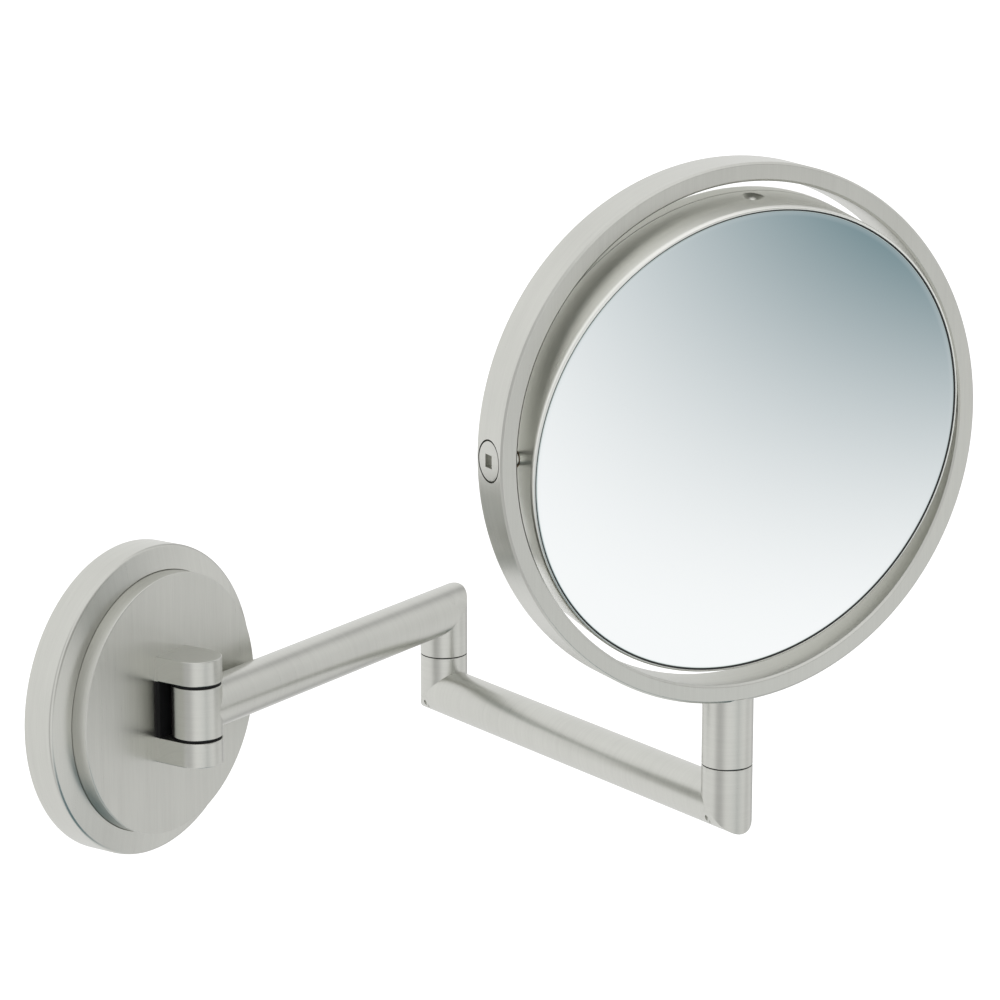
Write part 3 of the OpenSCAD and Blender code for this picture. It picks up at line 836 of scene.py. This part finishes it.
@dataclass
class WallHinge(SubAssembly):
    """The bracket with two half-round knuckles, its pin, its screws and a black liner that stands in for the
    shade in the slot.
    """

    body: ClassVar[str] = "wall_plate"
    radius: float = 11.0
    back: float = 24.4
    strip_w: float = 16.0
    strip_h: float = 25.8
    floor: float = 26.4
    play: float = 0.05
    inner: float = 12.6
    outer: float = 23.5
    edge: float = 0.45
    pin_r: float = 3.0
    pin_top: float = 19.5
    screw_z: float = 6.0
    screw_r: float = 2.6
    screw_head_r: float = 3.7
    countersink: float = 1.1
    sink_over: float = 0.02
    shade_liner_edge: float = 0.15

    def build(self) -> None:
        """Makes the hinge's pieces."""
        stock = self.knuckles()
        hinge = self.joints.at_hinge()
        stock.cut(Stock.rod(self.pin_r, -self.outer - OVERCUT, self.pin_top).placed(hinge))
        for side in (-1, 1):
            at = Matrix.Translation((0, 0, side * self.screw_z)) @ OUT_OF_WALL
            stock.cut(Stock.rod(self.screw_r, self.back - OVERCUT, self.strip_h).placed(at))
            bottom, top = self.strip_h - self.countersink, self.strip_h + self.sink_over
            stock.cut(Stock.rod(self.screw_r, bottom, top, self.screw_head_r).placed(at))
        self.replace(stock, "hinge_bracket", self.finishes.nickel, hinge)
        # The slot liner is painted shade: black where the slot between the knuckles lies in shadow.
        self.replace(self.shade_liner(), "slot_liner", self.finishes.nylon, hinge)
        self.dress(self.finishes.steel, hinge, "hinge_pin", "bracket_screws")

    def knuckles(self) -> Stock:
        """Both knuckles and the strip between them: the lower half is extruded and then mirrored."""
        centre = -self.joints.hinge.y
        bm = bmesh.new()
        arc = [bm.verts.new((self.radius, -centre, -self.outer))]
        swept = bmesh.ops.spin(bm, geom=arc, cent=(0, -centre, 0), axis=(0, 0, 1), dvec=(0, 0, 0),
                               angle=-math.pi, steps=ROD_STEPS // 2)
        last = next(item for item in swept["geom_last"] if isinstance(item, bmesh.types.BMVert))
        across = (-self.radius, -self.strip_w / 2, self.strip_w / 2, self.radius)
        near, far = ([bm.verts.new((x, -y, -self.outer)) for x in across] for y in (self.strip_h, self.back))
        outline = [last, *near, arc[0]]
        for pair in zip(outline, outline[1:]):
            bm.edges.new(pair)
        front = bmesh.ops.contextual_create(bm, geom=bm.edges[:])["faces"][0]
        feet = [bm.faces.new((near[i], far[i], far[i + 1], near[i + 1])) for i in range(len(across) - 1)]
        self._raise(bm, [front, *feet], self.outer - self.inner)
        middles = {f: f.calc_center_median() for f in bm.faces}
        top_strip = max((f for f, at in middles.items() if abs(at.y) < self.strip_h and abs(at.x) < WELD),
                        key=lambda f: middles[f].z)
        self._raise(bm, [top_strip], self.inner)
        middle = [f for f in bm.faces if all(abs(v.co.z) < WELD for v in f.verts)]
        bmesh.ops.delete(bm, geom=middle, context="FACES")
        bmesh.ops.mirror(bm, geom=bm.verts[:] + bm.edges[:] + bm.faces[:], axis="Z", merge_dist=WELD)
        bmesh.ops.remove_doubles(bm, verts=bm.verts[:], dist=WELD)
        bmesh.ops.recalc_face_normals(bm, faces=bm.faces[:])
        return Stock(bm).softened(self.edge, lambda at: at.y < -self.back - WELD and (
            abs(at.z) > self.outer - WELD or (abs(at.z) > self.inner - WELD and at.y < -self.floor)))

    def shade_liner(self) -> Stock:
        """The black liner over the strip between the knuckles: painted shade, a dark sheet where the slot
        lies in shadow.
        """
        high, room = self.inner - self.play, self.strip_w / 2 + self.play
        stock = Stock.block((-self.radius, -self.floor, -high), (self.radius, -self.back, high))
        stock.cut(Stock.block((-room, -self.strip_h - self.play, -high - OVERCUT),
                              (room, -self.back + OVERCUT, high + OVERCUT)))
        return stock.softened(self.shade_liner_edge, lambda at: at.y < -self.strip_h - self.play)

    @staticmethod
    def _raise(bm: bmesh.types.BMesh, faces: list[bmesh.types.BMFace], height: float) -> None:
        """Extrudes faces straight up."""
        made = bmesh.ops.extrude_face_region(bm, geom=faces, use_keep_orig=False)
        verts = [item for item in made["geom"] if isinstance(item, bmesh.types.BMVert)]
        bmesh.ops.translate(bm, verts=verts, vec=(0, 0, height))


@dataclass
class Arm(SubAssembly):
    """What the arms and the post share: one radius, seams of one width and coped ends."""

    tube_r: float = 10.9
    arm_r: float = 10.8
    arm_wall: float = 1.8
    crown_r: float = 10.8
    seam_gap: float = 0.4
    seam_edge: float = 0.3
    crown_edge: float = 0.12
    bore_r: float = 3.02
    well_r: float = 6.5
    cap_rings: int = 14
    cap_clear: float = 0.3
    key_edge: float = 0.2

    def tube(self, length: float) -> Stock:
        """A tube along Z whose ends are coped to upright cylinders at 0 and at its length."""
        inner = self.arm_r - self.arm_wall
        stock = Stock.turned([Corner(self.arm_r, self.tube_r), Corner(self.arm_r, length - self.tube_r),
                              Corner(inner, length - self.tube_r), Corner(inner, self.tube_r)], ROD_STEPS)
        stock.rounded_end(End.LOW, self.tube_r, outward=False)
        return stock.rounded_end(End.HIGH, self.tube_r, outward=False)

    def elbow(self, length: float, bore: float, bore_depth: float, hole: float) -> Stock:
        """An upright stub from its seam at 0 up to a crown that follows the tube's round back.

        Args:
            length: from the seam to the top of the crown.
            bore: radius of the bore that opens in the seam's face.
            bore_depth: how deep the bore is.
            hole: radius of the key hole through the crown, or 0.

        Returns:
            The stub, with the tube's direction along X.
        """
        steps = self.cap_rings
        rings = [self.tube_r * math.sin(QUARTER * i / steps) for i in range(1, steps)]
        cap = [Corner(r, length) for r in rings if r > hole + self.cap_clear]
        wall = [Corner(self.tube_r, length, self.crown_edge), Corner(self.tube_r, 0.0, self.seam_edge)]
        middle = [Corner(bore, 0.0), Corner(bore, bore_depth), Corner(hole, bore_depth),
                  Corner(hole, length, self.key_edge if hole else 0.0)]
        stock = Stock.turned(cap + wall + middle, ROD_STEPS)
        return stock.rounded_end(End.HIGH, self.crown_r, outward=True)


@dataclass
class InnerArm(Arm):
    """The arm between the wall hinge and the elbow."""

    body: ClassVar[str] = "inner_arm"
    barrel_half: float = 11.3
    barrel_edge: float = 0.3
    bush_r: float = 5.02
    flange_r: float = 10.4
    flange_t: float = 1.2
    bush_len: float = 9.0
    bush_fit: float = 0.02
    bush_edge: float = 0.15
    pin_r: float = 3.05
    screw_room_z: float = -5.0

    def build(self) -> None:
        """Makes the inner arm's pieces."""
        joints, nickel = self.joints, self.finishes.nickel
        hinge = joints.at_hinge()
        half, edge = self.barrel_half, self.barrel_edge
        barrel = Stock.turned([
            Corner(self.bush_r, -half), Corner(self.tube_r, -half, edge),
            Corner(self.tube_r, half, edge), Corner(self.bush_r, half)], ROD_STEPS)
        self.replace(barrel.placed(hinge), "wall_barrel", nickel, hinge)
        self.replace(self.bushes().placed(hinge), "hinge_bushes", self.finishes.nylon, hinge)

        along = joints.along(joints.hinge, joints.elbow, 0.0)
        length = (joints.elbow.xy - joints.hinge.xy).length
        self.replace(self.tube(length).placed(along), "inner_arm_tube", nickel, along)

        seam = joints.elbow.z + self.seam_gap / 2
        place = joints.upright(joints.elbow, joints.hinge)
        stub = self.elbow(self.crown_r - seam, self.bore_r, self.screw_room_z - seam, 0.0)
        stub.placed(place @ Matrix.Translation((0, 0, seam)))
        self.replace(stub, "inner_elbow", nickel, place)
        self.dress(self.finishes.steel, place, "elbow_pivot_screw", "elbow_spring_washers")

    def bushes(self) -> Stock:
        """The two flanged bushes of the wall hinge."""
        top = self.barrel_half + self.flange_t
        low = self.barrel_half - self.bush_len
        sleeve = self.bush_r - self.bush_fit
        profile = [Corner(self.pin_r, low), Corner(sleeve, low, self.bush_edge),
                   Corner(sleeve, self.barrel_half), Corner(self.flange_r, self.barrel_half),
                   Corner(self.flange_r, top, self.bush_edge), Corner(self.pin_r, top)]
        upper = Stock.turned(profile, ROD_STEPS)
        lower = Stock.turned(profile, ROD_STEPS).placed(FLIPPED)
        return upper.joined(lower)


@dataclass
class OuterArm(Arm):
    """The arm between the elbow and the post's foot, with the lower half of both pivots."""

    body: ClassVar[str] = "outer_arm"
    drop: float = 38.6
    well_depth: float = 20.3
    key_r: float = 2.0
    lock_r: float = 1.6
    lock_at: tuple[float, float] = (-1.2, -8.6)
    lock_top: float = -38.0

    def build(self) -> None:
        """Makes the outer arm's pieces."""
        joints, nickel = self.joints, self.finishes.nickel
        at_elbow = joints.upright(joints.elbow, joints.foot)
        at_foot = joints.upright(joints.foot, joints.foot * 2 - joints.elbow)
        for node, place in (("outer_elbow", at_elbow), ("post_elbow", at_foot)):
            self.replace(self.lower_elbow(place), node, nickel, place)
        along = joints.along(joints.elbow, joints.foot, -self.drop)
        length = (joints.foot.xy - joints.elbow.xy).length
        self.replace(self.tube(length).placed(along), "outer_arm_tube", nickel, along)
        self.dress(self.finishes.steel, at_elbow, "lock_screws")
        self.dress(self.finishes.bronze, at_elbow, "elbow_bush")
        self.dress(self.finishes.bronze, at_foot, "post_bush")
        self.dress(self.finishes.nylon, at_elbow, "elbow_friction_washer")
        self.dress(self.finishes.nylon, at_foot, "post_friction_washer")

    def lower_elbow(self, place: Matrix) -> Stock:
        """An elbow that hangs from its seam, with the pivot screw's well and the holes in its crown."""
        seam = self.joints.elbow.z - self.seam_gap / 2
        length = seam + self.drop + self.crown_r
        stub = self.elbow(length, self.well_r, self.well_depth, self.key_r)
        stub.placed(place @ Matrix.Translation((0, 0, seam)) @ FLIPPED)
        hole = Stock.rod(self.lock_r, -self.drop - 2 * self.tube_r, self.lock_top)
        return stub.cut(hole.placed(place @ Matrix.Translation((*self.lock_at, 0))))


@dataclass
class Yoke(Arm):
    """The post and the ring that carries the mirror between two pivots."""

    body: ClassVar[str] = "head"
    ring_r: float = 114.5
    bore: float = 106.6
    depth: float = 21.2
    ring_chamfer: float = 0.9
    ring_edge: float = 0.12
    plug_r: float = 8.25
    plug_gap: float = 0.7
    plug_h: float = 4.4
    plug_edge: float = 0.2
    socket: float = 5.5
    socket_depth: float = 3.0
    journal_r: float = 2.5
    journal_in: float = 97.5
    journal_hole_r: float = 3.0
    journal_edge: float = 0.3
    bore_deep: float = 1.0

    def build(self) -> None:
        """Makes the head's pieces."""
        head = self.joints.head()
        self.post(head)
        self.ring(head)
        self.plugs(head)
        self.dress(self.finishes.steel, self.joints.upright(self.joints.foot, self.joints.pivot),
                   "post_pivot_screw", "post_spring_washers", "post_stud")
        # The spacers wear the lighter nickel copy, painted light against the shade between the ring and the
        # frame.
        self.dress(self.finishes.nickel_painted_lighter, head @ Matrix.Rotation(QUARTER, 4, "Y"), "pivot_spacers")

    def hoop(self, head: Matrix) -> Stock:
        """The ring before its holes are bored."""
        half, cut = self.depth / 2, self.ring_chamfer
        corners = [(self.ring_r, half - cut), (self.ring_r - cut, half),
                   (self.bore + cut, half), (self.bore, half - cut)]
        upper = [Corner(radius, height, self.ring_edge) for radius, height in corners]
        lower = [Corner(c.radius, -c.height, c.round) for c in reversed(upper)]
        return Stock.turned(upper + lower).placed(head @ OUT_OF_WALL)

    def post(self, head: Matrix) -> None:
        """The post, whose top is coped to the ring and its chamfers."""
        joints = self.joints
        seam = joints.foot.z + self.seam_gap / 2
        cope = self.ring_r - self.ring_chamfer
        top = joints.pivot.z - cope
        rings = [self.tube_r * math.sin(QUARTER * i / self.cap_rings) for i in range(1, self.cap_rings)]
        stock = Stock.turned(
            [Corner(0.0, top)] + [Corner(r, top) for r in rings]
            + [Corner(self.tube_r, top), Corner(self.tube_r, seam, self.seam_edge),
               Corner(self.bore_r, seam), Corner(self.bore_r, seam + self.bore_deep),
               Corner(0.0, seam + self.bore_deep)], ROD_STEPS)
        stock.placed(Matrix.Rotation(QUARTER, 4, "Z"))
        stock.rounded_end(End.HIGH, cope, outward=False)
        at_foot = Matrix.Translation((joints.foot.x, joints.foot.y, 0))
        place = at_foot @ Matrix.Rotation(joints.head_turn, 4, "Z")
        stock.placed(place @ Matrix.Rotation(-QUARTER, 4, "Z"))
        stock.cut(self.hoop(head))
        self.replace(stock, "post", self.finishes.nickel, place)

    def ring(self, head: Matrix) -> None:
        """The yoke ring, bored for the two pivots."""
        stock = self.hoop(head)
        room, shoulder = self.plug_r + self.plug_gap, self.ring_r - self.plug_h
        for place in self.sides(head):
            stock.cut(Stock.rod(room, shoulder, self.ring_r + WIDE_OVERCUT).placed(place))
            stock.cut(Stock.rod(self.journal_hole_r, self.bore - WIDE_OVERCUT, self.ring_r).placed(place))
        self.replace(stock, "yoke_ring", self.finishes.nickel, head @ OUT_OF_WALL, Grain.STRAIGHT_FACES)

    def plugs(self, head: Matrix) -> None:
        """The two pivot screws: flush heads with a square socket, and journals that reach into the mirror."""
        shoulder = self.ring_r - self.plug_h
        rings = [self.plug_r * i / self.cap_rings for i in range(1, self.cap_rings)]
        both: Stock | None = None
        for place in self.sides(head):
            stock = Stock.turned(
                [Corner(0.0, self.ring_r)] + [Corner(r, self.ring_r) for r in rings]
                + [Corner(self.plug_r, self.ring_r, self.plug_edge), Corner(self.plug_r, shoulder),
                   Corner(self.journal_r, shoulder),
                   Corner(self.journal_r, self.journal_in, self.journal_edge),
                   Corner(0.0, self.journal_in)], ROD_STEPS)
            stock.placed(Matrix.Rotation(QUARTER, 4, "Z"))
            stock.rounded_end(End.HIGH, self.ring_r, outward=True)
            stock.placed(Matrix.Rotation(-QUARTER, 4, "Z"))
            side = self.socket / 2
            stock.cut(Stock.block((-side, -side, self.ring_r - self.socket_depth),
                                  (side, side, self.ring_r + WIDE_OVERCUT)))
            stock.placed(place)
            both = stock if both is None else both.joined(stock)
        across = head @ Matrix.Rotation(QUARTER, 4, "Y")
        self.replace(both, "pivot_screws", self.finishes.nickel, across, Grain.STRAIGHT_FACES)

    @staticmethod
    def sides(head: Matrix) -> list[Matrix]:
        """Frames of the two pivots, with Z outwards along the pivot and Y to the back."""
        outwards = Matrix.Rotation(QUARTER, 4, "Y")
        return [head @ Matrix.Rotation(turn, 4, "Z") @ outwards for turn in (0, math.pi)]


@dataclass
class MirrorHead(SubAssembly):
    """The frame with a magnifying glass in front and a plain glass behind."""

    body: ClassVar[str] = "mirror"
    frame_r: float = 102.2
    half: float = 15.4
    wall: float = 2.4
    rim_h: float = 2.2
    rim_w: float = 0.85
    rim_steps: int = 6
    rim_edge: float = 0.12
    rebate_r: float = 100.95
    ledge: float = 11.0
    seam_off: float = -7.7
    seam_gap: float = 0.4
    seam_edge: float = 0.2
    spigot_r: float = 99.78
    spigot_wall: float = 1.5
    spigot_end: float = -3.9
    hub_r: float = 3.82
    hub_flange_r: float = 6.8
    glass_r: float = 100.4
    glass_t: float = 3.9
    glass_off: float = 15.0
    glass_edge: float = 0.35
    glass_curve: float = 1000.0
    glass_rings: int = 40
    dimple_r: float = 5.2
    dimple_h: float = 2.0
    screw_r: float = 1.6
    gasket_lip: float = 0.2
    gasket_play: float = 0.02

    def build(self) -> None:
        """Makes the mirror's pieces."""
        mirror = self.joints.mirror()
        front = mirror @ OUT_OF_WALL
        back = mirror @ Matrix.Rotation(-QUARTER, 4, "X")
        self.case(front, mirror)
        self.bezel(back, mirror)
        self.glass("front_glass", front, self.glass_curve)
        self.glass("rear_glass", back, 0.0)
        for node, axis in (("front_gasket", front), ("rear_gasket", back)):
            self.replace(self.gasket().placed(axis), node, self.finishes.rubber, axis)
        across = mirror @ Matrix.Rotation(QUARTER, 4, "Y")
        self.dress(self.finishes.nylon, front, "spacer_ring")
        self.dress(self.finishes.foam, front, "foam_core")
        self.dress(self.finishes.steel, mirror, "frame_set_screw")
        self.dress(self.finishes.bronze, across, "pivot_bushes")

    def rim(self) -> list[Corner]:
        """The outline of an edge, from the ledge under the glass to the side wall."""
        arc = [QUARTER * step / self.rim_steps for step in range(self.rim_steps, -1, -1)]
        return [Corner(self.rebate_r, self.ledge), Corner(self.rebate_r, self.half, self.rim_edge)] + [
            Corner(self.frame_r - self.rim_w * (1 - math.cos(a)), self.half - self.rim_h * (1 - math.sin(a)))
            for a in arc]

    def case(self, front: Matrix, mirror: Matrix) -> None:
        """The frame's main shell, with pivot holes and the dimple of the set screw."""
        seam = self.seam_off + self.seam_gap / 2
        inner = self.frame_r - self.wall
        stock = Stock.turned([Corner(inner, self.ledge)] + self.rim() + [
            Corner(self.frame_r, seam, self.seam_edge), Corner(inner, seam)]).placed(front)
        for place in Yoke.sides(mirror):
            hub = Stock.rod(self.hub_r, inner - WIDE_OVERCUT, self.frame_r + WIDE_OVERCUT)
            stock.cut(hub.placed(place))
        bottom = self.frame_r - self.dimple_h
        stock.cut(Stock.rod(self.screw_r, inner - WIDE_OVERCUT, self.frame_r).placed(mirror))
        stock.cut(Stock.rod(self.screw_r, bottom, self.frame_r + HAIR, self.dimple_r).placed(mirror))
        # The frame wears the lighter nickel copy, painted light against the shade inside the ring.
        self.replace(stock, "mirror_frame", self.finishes.nickel_painted_lighter, front, Grain.STRAIGHT_FACES)

    def bezel(self, back: Matrix, mirror: Matrix) -> None:
        """The rear bezel, whose spigot slides into the frame."""
        seam = -self.seam_off + self.seam_gap / 2
        inside = self.spigot_r - self.spigot_wall
        stock = Stock.turned([Corner(inside, self.ledge)] + self.rim() + [
            Corner(self.frame_r, seam, self.seam_edge), Corner(self.spigot_r, seam),
            Corner(self.spigot_r, -self.spigot_end), Corner(inside, -self.spigot_end)]).placed(back)
        for place in Yoke.sides(mirror):
            notch = Stock.rod(self.hub_flange_r, inside - 2 * WIDE_OVERCUT, self.frame_r - self.wall + HAIR)
            stock.cut(notch.placed(place))
        # The bezel wears the lighter nickel copy, painted light against the shade inside the ring.
        self.replace(stock, "rear_bezel", self.finishes.nickel_painted_lighter, back, Grain.STRAIGHT_FACES)

    def glass(self, node: str, axis: Matrix, curve: float) -> None:
        """A glass, slumped to a radius of curvature, or flat where that is 0."""
        def sink(radius: float) -> float:
            """How far the face lies behind the glass's edge."""
            if not curve:
                return 0.0
            return math.sqrt(curve ** 2 - radius ** 2) - math.sqrt(curve ** 2 - self.glass_r ** 2)

        radii = [self.glass_r * i / self.glass_rings for i in range(self.glass_rings + 1)]
        face = [Corner(r, self.glass_off - sink(r)) for r in radii[:-1]]
        rim = [Corner(self.glass_r, self.glass_off, self.glass_edge),
               Corner(self.glass_r, self.glass_off - self.glass_t, self.glass_edge)]
        under = [Corner(r, self.glass_off - self.glass_t - sink(r)) for r in reversed(radii[:-1])]
        self.replace(Stock.turned(face + rim + under).placed(axis), node, self.finishes.mirror, axis)

    def gasket(self) -> Stock:
        """The seal between a glass and the frame's edge."""
        inner, outer = self.glass_r + self.gasket_play, self.rebate_r - self.gasket_play
        return Stock.turned([Corner(inner, self.ledge), Corner(outer, self.ledge),
                             Corner(outer, self.glass_off + self.gasket_lip), Corner(inner, self.glass_off)])


# ---- Studio ----

@dataclass
class Studio:
    """A pale floor, soft light all round and the camera."""

    camera_at: Vector = field(default_factory=lambda: Vector((-1.252556, -1.055696, 0.491688)))
    camera_elevation: float = 13.96
    camera_azimuth: float = -55.504
    lens: float = 141.602
    sensor: float = 36.0
    floor_z: float = -0.75
    floor_size: float = 60.0
    floor_cells: int = 8
    floor_dark: Colour = (0.9, 0.9, 0.9, 1)
    floor_light: Colour = (0.93, 0.93, 0.93, 1)
    floor_scale: float = 3.0
    floor_detail: float = 4.0
    floor_rough: float = 0.8
    floor_mottle: float = 0.1
    floor_glow: float = 0.4
    # Brightness of the level dome by direction, in degrees from straight out of the wall.
    walls: tuple[tuple[float, float], ...] = (
        (-180, 1.0), (-120, 1.0), (-104, 0.62), (-84, 0.62), (-62, 1.0), (-14, 1.0), (-10, 0.6), (-6, 1.0),
        (24, 1.0), (40, 0.72), (62, 0.92), (78, 0.85), (95, 0.45), (115, 0.95), (150, 0.95), (180, 1.0))
    walls_middle: float = 0.5         # place on the ramp of straight out of the wall
    walls_end: float = 0.7            # sine of the elevation where the walls begin to turn white
    shade_way: tuple[float, float, float] = (-0.0737, -0.6001, -0.7965)
    shade_start: float = 0.831        # cosine of the angle from the shade's middle where it begins
    shade_full: float = 1.106
    shade_gain: float = 3.75
    shade: Colour = (0.176, 0.264, 0.291, 1)
    ahead_way: tuple[float, float, float] = (0.0, -0.94, 0.342)
    ahead_start: float = 0.82
    ahead_full: float = 0.95
    ahead: Colour = (0.45, 0.45, 0.44, 1)

    def build(self) -> None:
        """Sets the studio up."""
        self.camera()
        self.floor()
        self.dome()
        bpy.context.scene.view_settings.view_transform = "Standard"

    def camera(self) -> None:
        """The camera, level and without shift or depth of field."""
        data = bpy.data.cameras.new("camera")
        data.lens = self.lens
        data.sensor_width = self.sensor
        made = bpy.data.objects.new("camera", data)
        made.location = self.camera_at
        made.rotation_euler = (math.radians(90 - self.camera_elevation), 0, math.radians(self.camera_azimuth))
        bpy.context.scene.collection.objects.link(made)
        bpy.context.scene.camera = made

    def floor(self) -> None:
        """A plain pale floor that lights nothing and isn't seen in the metal."""
        bm = bmesh.new()
        bmesh.ops.create_grid(bm, x_segments=self.floor_cells, y_segments=self.floor_cells,
                              size=self.floor_size / 2, matrix=Matrix.Translation((0, 0, self.floor_z)))
        mesh = bpy.data.meshes.new("floor")
        bm.to_mesh(mesh)
        bm.free()
        made = bpy.data.objects.new("floor", mesh)
        made.visible_glossy = False
        made.visible_diffuse = False
        bpy.context.scene.collection.objects.link(made)
        material = bpy.data.materials.new("pale_floor")
        material.use_nodes = True
        shader = Shader(material.node_tree)
        place = shader.node("ShaderNodeTexCoord").outputs["Object"]
        mottle = shader.noise(place, scale=self.floor_scale, detail=self.floor_detail)
        shader.surface({
            "Base Color": shader.blend_colours(mottle, self.floor_dark, self.floor_light),
            "Roughness": self.floor_rough + mottle * self.floor_mottle,
            "Emission Color": WHITE,
            "Emission Strength": self.floor_glow,
        })
        mesh.materials.append(material)

    def dome(self) -> None:
        """Soft light from all round, dimmer in a few directions so that the metal shows its shape."""
        world = bpy.data.worlds.new("dome")
        bpy.context.scene.world = world
        world.use_nodes = True
        shader = Shader(world.node_tree)
        way = shader.node("ShaderNodeTexCoord").outputs["Generated"]
        x, y, z = shader.parts(way)
        around = x.angle_from(0 - y) / math.tau + self.walls_middle
        stops = [(angle / FULL_TURN + self.walls_middle, grey) for angle, grey in self.walls]
        walls = shader.node("ShaderNodeValToRGB", {"stops": stops}, {0: around}).outputs[0]
        overhead = abs(z).ramp(self.walls_end, 1.0)
        room = shader.blend_colours(overhead, walls, WHITE)
        ahead = shader.dot(way, self.ahead_way).ramp(self.ahead_start, self.ahead_full)
        room = shader.blend_colours(ahead, room, self.ahead)
        below = shader.dot(way, self.shade_way).ramp(self.shade_start, self.shade_full) * self.shade_gain
        colour = shader.blend_colours(below, room, self.shade)
        background = shader.node("ShaderNodeBackground", inputs={"Color": colour, "Strength": 1.0})
        shader.node("ShaderNodeOutputWorld", inputs={"Surface": background.outputs[0]})


def main() -> None:
    """Builds the object and the studio, in order."""
    logging.basicConfig(level=logging.INFO, format="%(message)s")
    joints, finishes = Joints.of_frame(), Finishes()
    Studio().build()
    for group in (WallPlate, WallHinge, InnerArm, OuterArm, Yoke, MirrorHead):
        LOG.info("building %s", group.__name__)
        group(joints, finishes).build()
    bpy.context.view_layer.update()


if __name__ == "__main__":
    main()
